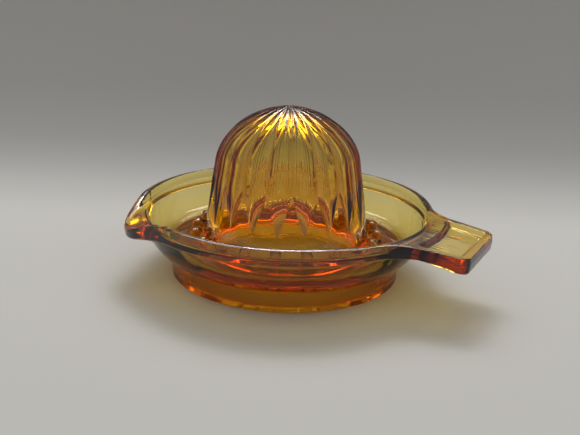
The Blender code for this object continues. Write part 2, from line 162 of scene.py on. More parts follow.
# Rows over the handle's top: first by radius, then by how far in from the outline they lie
HANDLE_ROOT_RADII = (
    70.6, 71.6, 72.4, 73.2, 74.2, 75.2, 76.2, 76.8, 77.2, 77.6, 78.0, 78.4, 78.8, 79.2,
    79.6, 80.0, 80.6, 82.0, 84.0,
)
HANDLE_ROOT_INSET = 6.6
HANDLE_ROOT_INSET_STEP = 0.3
HANDLE_TOP_INSETS = (
    6.4, 6.0, 5.7, 5.5, 5.3, 5.1, 4.9, 4.6, 4.3, 4.0, 3.8, 3.6, 3.4, 3.2, 3.0, 2.75, 2.5,
)
HANDLE_UNDER_INSETS = (2.6, 3.6, 5.0, 6.5, 8.0, 10.0, 12.0, 14.5, 17.0, 20.0, 24.0, 40.0)

# Plan of the handle, worked out from these sizes
LEAN = math.atan((HANDLE_NECK_WIDTH - HANDLE_END_WIDTH) / 2.0 / (HANDLE_REACH - HANDLE_NECK))
SIDE_NORMAL = (math.sin(LEAN), math.cos(LEAN))
SIDE_DISTANCE = SIDE_NORMAL[0] * HANDLE_NECK + SIDE_NORMAL[1] * HANDLE_NECK_WIDTH / 2.0
FILLET_REACH = DISH_RADIUS + HANDLE_ROOT_FILLET
FILLET_ANGLE = math.asin((SIDE_DISTANCE + HANDLE_ROOT_FILLET) / FILLET_REACH) - LEAN
FILLET_CENTRE = (FILLET_REACH * math.cos(FILLET_ANGLE), FILLET_REACH * math.sin(FILLET_ANGLE))

# Thumb recess
RECESS_START = DISH_RADIUS + 2.1
RECESS_LIP = 3.2
RECESS_DRAFT = 2.3
RECESS_DEPTH = 1.9
RECESS_CORNER = 2.0
RECESS_RAMP = 0.3

# Dome
DOME_BASE_RADIUS = 40.7
DOME_SHOULDER_RADIUS = 35.3
DOME_SHOULDER_HEIGHT = 54.2
DOME_POINT = 1.0
DOME_POINT_POWER = 3
DOME_APEX_RADIUS = 0.12
DOME_CAP_STEPS = 34
DOME_CAP_SPACING = 1.15
DOME_SIDE_ROWS = 14
# Fillet from the dome into the floor
DOME_FOOT_HEIGHT = 0.7
DOME_FOOT_REACH = 0.65
DOME_FOOT_TURNS = (22.0, 45.0, 67.0, 90.0)

# Flutes; their phase is in degrees
FLUTES = 20
FLUTE_PHASE = 4.5
FLUTE_DEPTH = 2.4
FLUTE_NARROWING = 0.8
FLUTE_TIP_HEIGHT = 27.7
FLUTE_CUSP_HEIGHT = 47.5
FLUTE_RUN_OUT_POWER = 1.6
RUN_OUT_ROWS = 34
BAND_ROWS = 12
# Share of the plain band's height above which the columns gather towards the flutes' edges
BAND_GATHER_START = 0.375
CREASE_BLEND = 0.05
RIDGE_ROUNDING = 0.16
RIDGE_POWER = 8
# Two columns, at these shares of half a flute, run along its edge, one inside and one outside.
# The first lies at a share of the opening: on a narrow flute, then on a full one.
EDGE_COLUMNS = (10 / 18, 16 / 18)
EDGE_INSIDE = (0.86, 0.72)
EDGE_OUTSIDE_GROWTH = 1.1
EDGE_OUTSIDE_MARGIN = 0.02
EDGE_OUTSIDE_FULL = 0.94
EDGE_POWER = 4

# Hollow under the floor and the dome
DOME_WALL = 5.6
DOME_CROWN = 6.5
FLOOR_UNDERSIDE = 10.5
HOLLOW_MOUTH = 1.0
HOLLOW_FILLET_ROWS = 7
HOLLOW_SIDE_ROWS = 16
HOLLOW_CAP_ROWS = 30
HOLLOW_LAST_TURN = 89.5
# Waves that the plunger left round the hollow: count, start and size
PLUNGER_WAVES = ((7, 0.4, 0.1), (13, 2.1, 0.07), (23, 4.0, 0.06), (37, 1.2, 0.03))
WAVE_LEAN = 0.002
WAVE_START = 22.0
WAVE_FADE = 14.0
WAVE_CALM_RADIUS = 12.0

# Seed guards
GUARD_CIRCLE_RADIUS = 44.8
GUARD_BLOCK = (41.35, 48.5)
GUARD_SIDE_ROWS = 12
# Section of one guard, as radius and height over the floor
GUARD_SECTION = [
    (3.3, 0.0), (3.05, 0.08), (2.88, 0.35), (2.8, 1.0), (2.68, 3.2), (2.6, 4.3),
    (2.42, 4.95), (2.1, 5.45), (1.6, 5.8), (0.9, 5.96), (0.25, 6.0),
]
GUARD_STEPS = 2

# Columns of the grid, in degrees
COLUMN_STEP = 0.5
HANDLE_COLUMN_STEP = 0.125
COLUMNS = int(360 / COLUMN_STEP)
FLUTE_COLUMNS = COLUMNS // FLUTES
SAME_ANGLE = 1e-9
SAME_PLACE = 2e-6

# Amber glass; scales are per metre and heights in metres
GLASS_IOR = 1.52
ABSORPTION_COLOUR = (0.95, 0.808, 0.0, 1.0)
ABSORPTION_DENSITY = 385.0
SWELL_SCALE = 75.0
SWELL_DETAIL = 1.0
SWELL_HEIGHT = 0.0002
SCRATCH_SCALE = 150.0
SCRATCH_BEND = 1.5
SCRATCH_WIDTH = 0.008
SCRATCH_HEIGHT = -0.00003
SCRATCH_ROUGHNESS = 0.3
SCRATCH_PATCH_SCALE = 60.0
SCRATCH_PATCH_DETAIL = 2.0
SCRATCH_PATCH_RANGE = (0.58, 0.66)
FILM_SCALE = 28.0
FILM_DETAIL = 4.0
FILM_RANGE = (0.4, 0.75)
FILM_ROUGHNESS = 0.035

# Floor: flat under the object, with a cove behind it as the camera sees it
FLOOR_COLOUR = (0.46, 0.45, 0.43, 1.0)
FLOOR_ROUGHNESS = 0.9
FLOOR_GAP = 0.0002
FLOOR_REACH = 20.0
FLOOR_FRONT = 1.0
COVE_START = 0.10
COVE_RADIUS = 0.12
COVE_TOP = 0.135
COVE_ROWS = 33

# Light: an even world and two lamps that point at the origin
FILL_COLOUR = (0.52, 0.52, 0.525, 1.0)
LAMP_COLOUR = (1.0, 0.99, 0.97)
# Name, place, size and watts
LAMPS = (
    ("window", (-0.41, 0.77, 1.35), (0.5, 0.26), 6.0),
    ("halo", (-0.42, 0.79, 1.38), (1.3, 0.9), 15.0),
)

# Camera, fitted to the photo: its distance, in millimetres, is from the middle of the foot
PHOTO_WIDTH = 580
FOCAL_PIXELS = 790.0
SENSOR_WIDTH = 36.0
CLIP_START = 0.01
CAMERA_AZIMUTH = math.radians(-62.0)
CAMERA_ELEVATION = math.radians(21.602)
CAMERA_DISTANCE = 400.0
CAMERA_ROLL = math.radians(1.970)
CAMERA_YAW = math.radians(0.2644)
CAMERA_PITCH = math.radians(3.5266)


def mix(first, second, share):
    return first + (second - first) * share


def smoothstep(value):
    value = np.clip(value, 0.0, 1.0)
    return value * value * (3.0 - 2.0 * value)


def soft_min(first, second, blend):
    """The smaller of two values, with the corner between them rounded."""
    share = np.clip(0.5 + 0.5 * (second - first) / blend, 0.0, 1.0)
    return mix(second, first, share) - blend * share * (1.0 - share)


def soft_max(first, second, blend):
    return -soft_min(-first, -second, blend)


def signed_turn(angle):
    """The same angle, between minus and plus half a turn."""
    return (angle + math.pi) % (2.0 * math.pi) - math.pi


def spline(points, steps):
    """Catmull-Rom curve through the points, with that many steps in each span."""
    points = [np.asarray(point, float) for point in points]
    padded = [2.0 * points[0] - points[1]] + points + [2.0 * points[-1] - points[-2]]
    curve = []
    for i in range(1, len(padded) - 2):
        a, b, c, d = padded[i - 1:i + 3]
        for step in range(steps):
            t = step / steps
            curve.append(0.5 * (
                2.0 * b + (c - a) * t
                + (2.0 * a - 5.0 * b + 4.0 * c - d) * t ** 2
                + (3.0 * b - a - 3.0 * c + d) * t ** 3
            ))
    curve.append(points[-1])
    return curve


class GlassMesh:
    """Vertices and faces of the body, gathered ring by ring from the apex down and under."""

    def __init__(self):
        self.points = []
        self.faces = []
        self.count = 0

    def ring(self, radius, angle, height):
        """Add one ring; each value is a number or an array over the columns."""
        radius, angle, height = np.broadcast_arrays(
            np.asarray(radius, float), np.asarray(angle, float), np.asarray(height, float)
        )
        return self.add(np.stack([radius * np.cos(angle), radius * np.sin(angle), height], -1))

    def add(self, xyz):
        """Add vertices and give back their numbers."""
        self.points.append(xyz)
        index = np.arange(self.count, self.count + len(xyz))
        self.count += len(xyz)
        return index

    def bridge(self, first, second):
        """Quads between two closed rings of the same number of columns."""
        quads = np.stack([first, second, np.roll(second, -1), np.roll(first, -1)], -1)
        self.faces += quads.tolist()

    def bridge_all(self, rings):
        for first, second in zip(rings, rings[1:]):
            self.bridge(first, second)

    def bridge_nested(self, first, second, first_angles, second_angles):
        """Faces between rings where each column of the coarser one is in the finer one."""
        finer_second = len(second) > len(first)
        coarse, fine = (first, second) if finer_second else (second, first)
        coarse_angles = first_angles if finer_second else second_angles
        fine_angles = second_angles if finer_second else first_angles
        starts = np.searchsorted(fine_angles, coarse_angles - SAME_ANGLE)
        for i in range(len(coarse)):
            end = starts[i + 1] if i + 1 < len(coarse) else len(fine)
            run = [int(fine[k % len(fine)]) for k in range(starts[i], end + 1)]
            following = int(coarse[(i + 1) % len(coarse)])
            if finer_second:
                self.faces.append([int(coarse[i])] + run + [following])
            else:
                self.faces.append(run[::-1] + [int(coarse[i]), following])

    def cap(self, ring, reverse):
        """One face over a small ring."""
        face = [int(i) for i in ring]
        self.faces.append(face[::-1] if reverse else face)

    def build(self, name):
        """The mesh in metres in the frame, with doubled vertices merged."""
        vertices = np.concatenate(self.points) * MM
        vertices[:, 0] += AXIS_X * MM
        mesh = bpy.data.meshes.new(name)
        mesh.from_pydata(vertices.tolist(), [], self.faces)
        work = bmesh.new()
        work.from_mesh(mesh)
        bmesh.ops.remove_doubles(work, verts=work.verts, dist=SAME_PLACE)
        bmesh.ops.dissolve_degenerate(work, dist=SAME_PLACE, edges=work.edges)
        work.to_mesh(mesh)
        work.free()
        mesh.shade_smooth()
        return mesh


def column_angles():
    """Evenly spaced columns, in radians."""
    return np.radians(np.arange(COLUMNS) * COLUMN_STEP)


def rim_column_angles():
    """The same columns with finer ones added across the handle."""
    coarse = np.arange(HANDLE_HALF_ANGLE, 360.0 - HANDLE_HALF_ANGLE, COLUMN_STEP)
    fine = np.arange(-HANDLE_HALF_ANGLE, HANDLE_HALF_ANGLE, HANDLE_COLUMN_STEP)
    return np.radians(np.sort(np.concatenate([coarse, fine % 360.0])))


# Plan outline of the handle

def corner_centre(inset, radius):
    """Middle of the rounding at the handle's corner, with the outline moved in by inset."""
    x = HANDLE_REACH - inset - radius
    y = (SIDE_DISTANCE - inset - radius - x * SIDE_NORMAL[0]) / SIDE_NORMAL[1]
    return x, y


def handle_outline(angle, inset):
    """Polar radius of the outline near the handle, moved in by inset."""
    turn = np.abs(angle)
    ux, uy = np.cos(turn), np.sin(turn)
    corner = max(HANDLE_CORNER - inset, SMALLEST_CORNER)
    cx, cy = corner_centre(inset, corner)
    fillet = HANDLE_ROOT_FILLET + inset
    fx, fy = FILLET_CENTRE
    end_angle = math.atan2(cy, HANDLE_REACH - inset)
    side_angle = math.atan2(cy + corner * SIDE_NORMAL[1], cx + corner * SIDE_NORMAL[0])
    neck_angle = math.atan2(fy - fillet * SIDE_NORMAL[1], fx - fillet * SIDE_NORMAL[0])
    along = cx * ux + cy * uy
    on_corner = along + np.sqrt(np.maximum(0.0, along ** 2 - cx ** 2 - cy ** 2 + corner ** 2))
    along = fx * ux + fy * uy
    on_fillet = along - np.sqrt(np.maximum(0.0, along ** 2 - fx ** 2 - fy ** 2 + fillet ** 2))
    return np.select(
        [turn <= end_angle, turn <= side_angle, turn <= neck_angle, turn <= FILLET_ANGLE],
        [
            (HANDLE_REACH - inset) / ux,
            on_corner,
            (SIDE_DISTANCE - inset) / np.sin(turn + LEAN),
            on_fillet,
        ],
        DISH_RADIUS - inset,
    )


def handle_inset(x, y):
    """Distance of a point of the handle from its plan outline."""
    y = np.abs(y)
    side = SIDE_DISTANCE - x * SIDE_NORMAL[0] - y * SIDE_NORMAL[1]
    inset = np.minimum(side, HANDLE_REACH - x)
    cx, cy = corner_centre(0.0, HANDLE_CORNER)
    past = x * SIDE_NORMAL[0] + y * SIDE_NORMAL[1] > cx * SIDE_NORMAL[0] + cy * SIDE_NORMAL[1]
    in_corner = (x > cx) & past
    inset = np.where(in_corner, HANDLE_CORNER - np.hypot(x - cx, y - cy), inset)
    fx, fy = FILLET_CENTRE
    before = x < fx - HANDLE_ROOT_FILLET * SIDE_NORMAL[0]
    return np.where(before, np.hypot(x - fx, y - fy) - HANDLE_ROOT_FILLET, inset)


# Plan outline of the spout

def spout_outline(angle):
    """Polar radius of the rim: the dish's circle with a rounded tip joined by tangents."""
    centre = SPOUT_REACH - SPOUT_TIP_RADIUS
    tangent = math.acos((DISH_RADIUS - SPOUT_TIP_RADIUS) / centre)
    turn = np.abs(signed_turn(angle - SPOUT_ANGLE))
    tip_end = math.atan2(
        SPOUT_TIP_RADIUS * math.sin(tangent), centre + SPOUT_TIP_RADIUS * math.cos(tangent)
    )
    across = centre * np.sin(turn)
    tip = centre * np.cos(turn) + np.sqrt(np.maximum(0.0, SPOUT_TIP_RADIUS ** 2 - across ** 2))
    return np.select(
        [turn >= tangent, turn >= tip_end],
        [DISH_RADIUS, DISH_RADIUS / np.cos(tangent - turn)],
        tip,
    )


def spout_share(angle):
    """0 on the plain rim and 1 at the tip of the spout."""
    turn = signed_turn(angle - SPOUT_ANGLE)
    reach = spout_outline(angle) * np.cos(turn)
    share = np.clip((reach - SPOUT_DIP_START) / (SPOUT_REACH - SPOUT_DIP_START), 0.0, 1.0)
    return np.where(np.abs(turn) < math.pi / 2.0, share ** SPOUT_DIP_POWER, 0.0)


def outline(angle, inset):
    """Polar radius of the whole plan outline, moved in by inset."""
    turn = signed_turn(angle)
    near_handle = np.abs(turn) < math.radians(HANDLE_HALF_ANGLE)
    return np.where(near_handle, handle_outline(turn, inset), spout_outline(angle) - inset)


def dish_outline(angle, inset):
    """The dish's circle with the spout but without the handle, moved in by inset."""
    return np.where(spout_share(angle) > 0.0, outline(angle, inset), DISH_RADIUS - inset)


# Heights of the rim and handle

def handle_plane(x):
    return RIM_HEIGHT - RIM_DIP_AT_HANDLE - (x - DISH_RADIUS) * HANDLE_FALL


def rim_top(angle):
    dipped = soft_min(RIM_HEIGHT, handle_plane(DISH_RADIUS * np.cos(angle)), RIM_DIP_BLEND)
    return dipped - SPOUT_DIP * spout_share(angle)


def recess_drop(x, y):
    """Depth of the thumb recess: a rounded mouth, a drafted wall and a flat floor."""
    inset = soft_min(handle_inset(x, y), np.hypot(x, y) - RECESS_START, RECESS_CORNER)
    t = np.clip((inset - RECESS_LIP) / RECESS_DRAFT, 0.0, 1.0)
    start = t ** 2 / (2.0 * RECESS_RAMP)
    middle = RECESS_RAMP / 2.0 + (t - RECESS_RAMP)
    end = 1.0 - RECESS_RAMP - (1.0 - t) ** 2 / (2.0 * RECESS_RAMP)
    shape = np.select([t < RECESS_RAMP, t < 1.0 - RECESS_RAMP], [start, middle], end)
    return RECESS_DEPTH * shape / (1.0 - RECESS_RAMP)


def top_height(radius, angle):
    """Height of the rim's crest or the handle's top at a place on it."""
    x = radius * np.cos(angle)
    y = radius * np.sin(angle)
    crest = DISH_RADIUS - RIM_LAND
    on_handle = np.abs(signed_turn(angle)) < FILLET_ANGLE
    blend = smoothstep((radius - crest) / HANDLE_TOP_BLEND)
    top = mix(rim_top(angle), handle_plane(x), blend)
    return np.where(on_handle, top - recess_drop(x, y), rim_top(angle))


def under_height(radius, angle):
    """Height of the underside of the collar, handle and spout lip."""
    x = radius * np.cos(angle)
    share = np.clip((x - HANDLE_NECK) / (HANDLE_UNDER_END - HANDLE_NECK), 0.0, 1.0)
    plain = RIM_HEIGHT - COLLAR_THICKNESS - HANDLE_UNDER_DROP * share ** HANDLE_UNDER_POWER
    spout = spout_share(angle)
    lip = RIM_HEIGHT - SPOUT_DIP * spout - mix(COLLAR_THICKNESS, SPOUT_THICKNESS, spout)
    return np.where(spout > 0.0, lip, plain)


# The dome

def cone_radius(height):
    """Radius of the dome's side below its shoulder."""
    share = (height - FLOOR_HEIGHT) / (DOME_SHOULDER_HEIGHT - FLOOR_HEIGHT)
    return mix(DOME_BASE_RADIUS, DOME_SHOULDER_RADIUS, share)


def dome_cap(steps):
    """The ridge line from the apex down to the shoulder, as radius and height."""
    slope = (DOME_BASE_RADIUS - DOME_SHOULDER_RADIUS) / (DOME_SHOULDER_HEIGHT - FLOOR_HEIGHT)
    rise = DOME_HEIGHT - DOME_POINT - DOME_SHOULDER_HEIGHT
    start = math.atan(slope * rise / DOME_SHOULDER_RADIUS)
    radius = DOME_SHOULDER_RADIUS / math.cos(start)
    full = rise / (1.0 - math.sin(start))
    centre = DOME_SHOULDER_HEIGHT - full * math.sin(start)
    points = []
    for step in range(steps + 1):
        angle = mix(math.pi / 2.0, start, (step / steps) ** DOME_CAP_SPACING)
        reach = max(radius * math.cos(angle), DOME_APEX_RADIUS)
        point = DOME_POINT * (1.0 - reach / radius) ** DOME_POINT_POWER
        points.append((reach, centre + full * math.sin(angle) + point))
    return points


def flute_places(opening):
    """The columns' even places across their flute, from -1 to 1, and the same drawn to its edges.

    The third value is the angle of each column's flute.
    """
    column = np.arange(COLUMNS) - round(FLUTE_PHASE / COLUMN_STEP) + FLUTE_COLUMNS // 2
    half = FLUTE_COLUMNS // 2
    across = (column % FLUTE_COLUMNS - half) / half
    full = opening ** EDGE_POWER
    inside = mix(*EDGE_INSIDE, full) * opening
    outside = mix(EDGE_OUTSIDE_GROWTH * opening + EDGE_OUTSIDE_MARGIN, EDGE_OUTSIDE_FULL, full)
    place = np.interp(np.abs(across), [0.0, *EDGE_COLUMNS, 1.0], [0.0, inside, outside, 1.0])
    middle = np.radians(FLUTE_PHASE + (column // FLUTE_COLUMNS) * 360.0 / FLUTES)
    return across, np.copysign(place, across), middle


def flute_depth(radius, height):
    """Depth of a flute's middle, from nothing at its tip to full at the shoulder."""
    share = (height - FLUTE_TIP_HEIGHT) / (DOME_SHOULDER_HEIGHT - FLUTE_TIP_HEIGHT)
    share = min(1.0, max(0.0, share))
    deepening = 1.0 - (1.0 - share) ** FLUTE_RUN_OUT_POWER
    return FLUTE_DEPTH * deepening * (radius / DOME_SHOULDER_RADIUS) ** FLUTE_NARROWING


def fluted_ring(glass, radius, height, opening, gather, lean=0.0):
    """A ring of the dome: opening is 0 on the plain band and 1 on full flutes.

    The flutes are sunk along the surface's own normal, which rises by lean.
    """
    across, place, middle = flute_places(opening)
    place = mix(across, place, gather)
    angle = middle + place * math.pi / FLUTES
    if opening <= 0.0:
        return glass.ring(radius, angle, height)
    ridge = opening ** RIDGE_POWER
    inside = (place / opening) ** 2
    rise = np.minimum(inside, 1.0)
    rise -= np.maximum(0.0, CREASE_BLEND - np.abs(inside - 1.0)) ** 2 / (4.0 * CREASE_BLEND)
    past = np.maximum(0.0, np.abs(place) - 1.0 + RIDGE_ROUNDING)
    rise -= past ** 2 / RIDGE_ROUNDING * ridge
    lost = (CREASE_BLEND / 4.0 + RIDGE_ROUNDING) * ridge
    sunk = flute_depth(radius, height) * (1.0 - rise - lost)
    return glass.ring(radius - sunk * math.cos(lean), angle, height - sunk * math.sin(lean))


def add_dome(glass):
    """The reaming dome's outside, from its apex down to the floor."""
    rings = []
    cap = dome_cap(DOME_CAP_STEPS)
    for i, (radius, height) in enumerate(cap):
        above, below = cap[max(i - 1, 0)], cap[min(i + 1, len(cap) - 1)]
        lean = math.atan2(below[0] - above[0], above[1] - below[1])
        rings.append(fluted_ring(glass, radius, height, 1.0, 1.0, lean))
    glass.cap(rings[0], False)
    for height in np.linspace(DOME_SHOULDER_HEIGHT, FLUTE_CUSP_HEIGHT, DOME_SIDE_ROWS)[1:]:
        rings.append(fluted_ring(glass, cone_radius(height), height, 1.0, 1.0))
    for share in np.linspace(1.0, 0.0, RUN_OUT_ROWS)[1:]:
        height = mix(FLUTE_TIP_HEIGHT, FLUTE_CUSP_HEIGHT, share)
        rings.append(fluted_ring(glass, cone_radius(height), height, share, 1.0))
    low = FLOOR_HEIGHT + DOME_FOOT_HEIGHT
    for share in np.linspace(1.0, 0.0, BAND_ROWS)[1:]:
        height = mix(low, FLUTE_TIP_HEIGHT, share)
        gather = smoothstep((share - BAND_GATHER_START) / (1.0 - BAND_GATHER_START))
        rings.append(fluted_ring(glass, cone_radius(height), height, 0.0, gather))
    angles = column_angles()
    for turn in np.radians(DOME_FOOT_TURNS):
        radius = cone_radius(low) + DOME_FOOT_REACH * (1.0 - math.cos(turn))
        rings.append(glass.ring(radius, angles, low - DOME_FOOT_HEIGHT * math.sin(turn)))
    glass.bridge_all(rings)
    return rings[-1]


# The floor and its seed guards

def add_guards(glass, inner_edge):
    """The band of floor with a rounded peg at the foot of each flute."""
    angles = column_angles()
    middle = round(FLUTE_PHASE / COLUMN_STEP)
    half = FLUTE_COLUMNS // 2
    inner = glass.ring(GUARD_BLOCK[0], angles, FLOOR_HEIGHT)
    outer = glass.ring(GUARD_BLOCK[1], angles, FLOOR_HEIGHT)
    glass.bridge(inner_edge, inner)
    sides = []
    side_radii = np.linspace(GUARD_BLOCK[0], GUARD_BLOCK[1], GUARD_SIDE_ROWS)[1:-1]
    for guard in range(FLUTES):
        angle = angles[(middle - half + guard * FLUTE_COLUMNS) % COLUMNS]
        sides.append(glass.ring(side_radii, angle, FLOOR_HEIGHT))
    for guard in range(FLUTES):
        columns = np.arange(middle - half, middle + half + 1) + guard * FLUTE_COLUMNS
        columns %= COLUMNS
        after = sides[(guard + 1) % FLUTES]
        loop = np.concatenate([inner[columns], after, outer[columns][::-1], sides[guard][::-1]])
        add_guard(glass, loop, math.radians(FLUTE_PHASE) + guard * 2.0 * math.pi / FLUTES)
    return outer


def add_guard(glass, loop, angle):
    """One peg, from the edge of its block of floor up to its rounded top."""
    centre = GUARD_CIRCLE_RADIUS * np.array([math.cos(angle), math.sin(angle)])
    corners = np.concatenate(glass.points)[loop]
    around = np.arctan2(corners[:, 1] - centre[1], corners[:, 0] - centre[0])
    previous = loop
    for radius, height in spline(GUARD_SECTION, GUARD_STEPS):
        current = glass.add(np.stack([
            centre[0] + radius * np.cos(around),
            centre[1] + radius * np.sin(around),
            np.full(len(loop), FLOOR_HEIGHT + height),
        ], -1))
        quads = np.stack([previous, np.roll(previous, -1), np.roll(current, -1), current], -1)
        glass.faces += quads[:, ::-1].tolist()
        previous = current
    glass.cap(previous, True)


# The bowl's inside, ledge and rim

def add_bowl(glass, floor_edge):
    """From the guards out over the floor, up the bowl's inside to the rim's crest."""
    angles = column_angles()
    rings = [floor_edge]
    for reach in np.linspace(GUARD_BLOCK[1], BOWL_WALL[0][0], FLOOR_ROWS)[1:-1]:
        rings.append(glass.ring(reach, angles, FLOOR_HEIGHT))
    for reach, height in spline(BOWL_WALL, BOWL_WALL_STEPS)[:-1]:
        rings.append(glass.ring(reach, angles, max(height, FLOOR_HEIGHT)))
    spout = spout_share(angles)
    crest = dish_outline(angles, RIM_LAND)
    top = rim_top(angles)
    plain = spline(PLAIN_LEDGE, LEDGE_STEPS)[:-1]
    flared = spline(SPOUT_LEDGE, LEDGE_STEPS)[:-1]
    for plain_place, flared_place in zip(plain, flared):
        across = mix(plain_place[0], flared_place[0], spout)
        up = mix(plain_place[1], flared_place[1], spout)
        height = LEDGE_HEIGHT + (top - LEDGE_HEIGHT) * up
        rings.append(glass.ring(mix(LEDGE_RADIUS, crest, across), angles, height))
    glass.bridge_all(rings)
    return rings[-1]


def rim_land():
    """Inset and drop from the crest: a wide arc tilting outward, then the small edge."""
    tilt = math.sin(RIM_LAND_TILT)
    wide = (RIM_LAND - COLLAR_DRAFT - RIM_EDGE * (1.0 - tilt)) / tilt
    places = []
    for turn in np.linspace(0.0, RIM_LAND_TILT, RIM_LAND_ROWS):
        places.append((RIM_LAND - wide * math.sin(turn), wide * (1.0 - math.cos(turn))))
    inset, drop = places[-1]
    for turn in np.linspace(RIM_LAND_TILT, math.pi / 2.0, RIM_EDGE_ROWS)[1:]:
        places.append((
            inset - RIM_EDGE * (math.sin(turn) - tilt),
            drop + RIM_EDGE * (math.cos(RIM_LAND_TILT) - math.cos(turn)),
        ))
    return places


def add_top(glass, rings, crest, angles):
    """Rows from the crest out over the handle's top; elsewhere they stay on the crest."""
    for i, radius in enumerate(HANDLE_ROOT_RADII):
        inset = HANDLE_ROOT_INSET + HANDLE_ROOT_INSET_STEP * (len(HANDLE_ROOT_RADII) - i)
        reach = np.maximum(crest, np.minimum(radius, outline(angles, inset)))
        rings.append(glass.ring(reach, angles, top_height(reach, angles)))
    for inset in HANDLE_TOP_INSETS:
        reach = np.maximum(crest, outline(angles, inset))
        rings.append(glass.ring(reach, angles, top_height(reach, angles)))


def add_collar(glass, rings, angles):
    """Rows over the rim's land and down the collar, across its seam and its step."""
    brow = outline(angles, RIM_LAND)
    top = top_height(brow, angles)
    under = under_height(outline(angles, 0.0), angles)
    spout = spout_share(angles)
    land = rim_land()
    for inset, drop in land:
        share = (RIM_LAND - inset) / (RIM_LAND - COLLAR_DRAFT)
        fall = drop + SPOUT_LIP_TILT * share * spout
        rings.append(glass.ring(outline(angles, inset), angles, top - fall))
    start = land[-1][1] + SPOUT_LIP_TILT * spout
    bottom = top - under - COLLAR_UNDER
    seam = mix(start, bottom, mix(SEAM_SHARE, SPOUT_SEAM_SHARE, spout))
    for share in COLLAR_SHARES_ABOVE_SEAM:
        drop = mix(start, seam - SEAM_HALF_WIDTH, share)
        inset = COLLAR_DRAFT * (1.0 - share)
        rings.append(glass.ring(outline(angles, inset), angles, top - drop))
    for place, ridge in SEAM_ROWS:
        drop = seam + place * SEAM_HALF_WIDTH
        inset = SEAM_RIDGE * (1.0 - ridge)
        rings.append(glass.ring(outline(angles, inset), angles, top - drop))
    for share in COLLAR_SHARES_BELOW_SEAM:
        drop = mix(seam + SEAM_HALF_WIDTH, bottom, share)
        inset = mix(SEAM_RIDGE, COLLAR_BELOW_SEAM, share)
        rings.append(glass.ring(outline(angles, inset), angles, top - drop))
    for turn in np.radians(COLLAR_TURNS):
        drop = bottom + COLLAR_UNDER * math.sin(turn)
        inset = mix(COLLAR_STEP, COLLAR_BELOW_SEAM, math.cos(turn))
        rings.append(glass.ring(outline(angles, inset), angles, top - drop))


def add_underside(glass, rings, angles):
    """Rows from the handle's edge back to its root; elsewhere they stay at the collar's step."""
    on_spout = spout_share(angles) > 0.0
    root = DISH_RADIUS - COLLAR_STEP
    for inset in HANDLE_UNDER_INSETS:
        plain = np.maximum(root, outline(angles, inset))
        reach = np.where(on_spout, outline(angles, COLLAR_STEP), plain)
        rings.append(glass.ring(reach, angles, under_height(reach, angles)))


def add_rim(glass, inner_edge):
    """Over the crest and the handle's top, down the collar and back underneath."""
    angles = rim_column_angles()
    crest = dish_outline(angles, RIM_LAND)
    rings = [glass.ring(crest, angles, top_height(crest, angles))]
    glass.bridge_nested(inner_edge, rings[0], column_angles(), angles)
    add_top(glass, rings, crest, angles)
    add_collar(glass, rings, angles)
    add_underside(glass, rings, angles)
    glass.bridge_all(rings)
    return rings[-1], angles


# The bowl's outside, the foot and the hollow

def bowl_outside(height):
    """Radius of the bowl's outside, an arc from the foot up to the collar."""
    foot = (FOOT_TOP_RADIUS, FOOT_HEIGHT)
    collar = (BOWL_TOP_RADIUS, BOWL_TOP_HEIGHT)
    half = math.dist(foot, collar) / 2.0
    bulge = half * BOWL_BULGE
    radius = (half ** 2 + bulge ** 2) / (2.0 * bulge)
    middle = ((foot[0] + collar[0]) / 2.0, (foot[1] + collar[1]) / 2.0)
    along = ((collar[0] - foot[0]) / (2.0 * half), (collar[1] - foot[1]) / (2.0 * half))
    centre = (middle[0] - along[1] * (radius - bulge), middle[1] + along[0] * (radius - bulge))
    return centre[0] + np.sqrt(radius ** 2 - (height - centre[1]) ** 2)


def add_outside(glass, collar_edge, collar_angles):
    """The bowl's outside, with the spout's underside running into it, and the foot."""
    angles = column_angles()
    lip = dish_outline(angles, COLLAR_STEP)
    under = under_height(lip, angles)
    rings = []
    for share in BOWL_OUTSIDE_SHARES:
        height = mix(under, FOOT_HEIGHT + BOWL_FOOT_MARGIN, share)
        line = lip - (under - height) * SPOUT_UNDER_RUN
        reach = soft_max(bowl_outside(height), line, SPOUT_UNDER_BLEND)
        reach = lip if share <= 0.0 else np.minimum(reach, lip)
        rings.append(glass.ring(reach, angles, height))
    for radius, height in spline(FOOT_SECTION, FOOT_STEPS):
        rings.append(glass.ring(radius, angles, max(height, 0.0)))
    glass.bridge_nested(collar_edge, rings[0], collar_angles, angles)
    glass.bridge_all(rings)
    return rings[-1]


def plunger_waves(angles, height):
    """Unevenness that the plunger left in the hollow, in streaks that lean a little."""
    lean = angles + height * WAVE_LEAN
    waves = 0.0
    for count, start, size in PLUNGER_WAVES:
        waves = waves + size * np.sin(count * lean + start)
    return waves


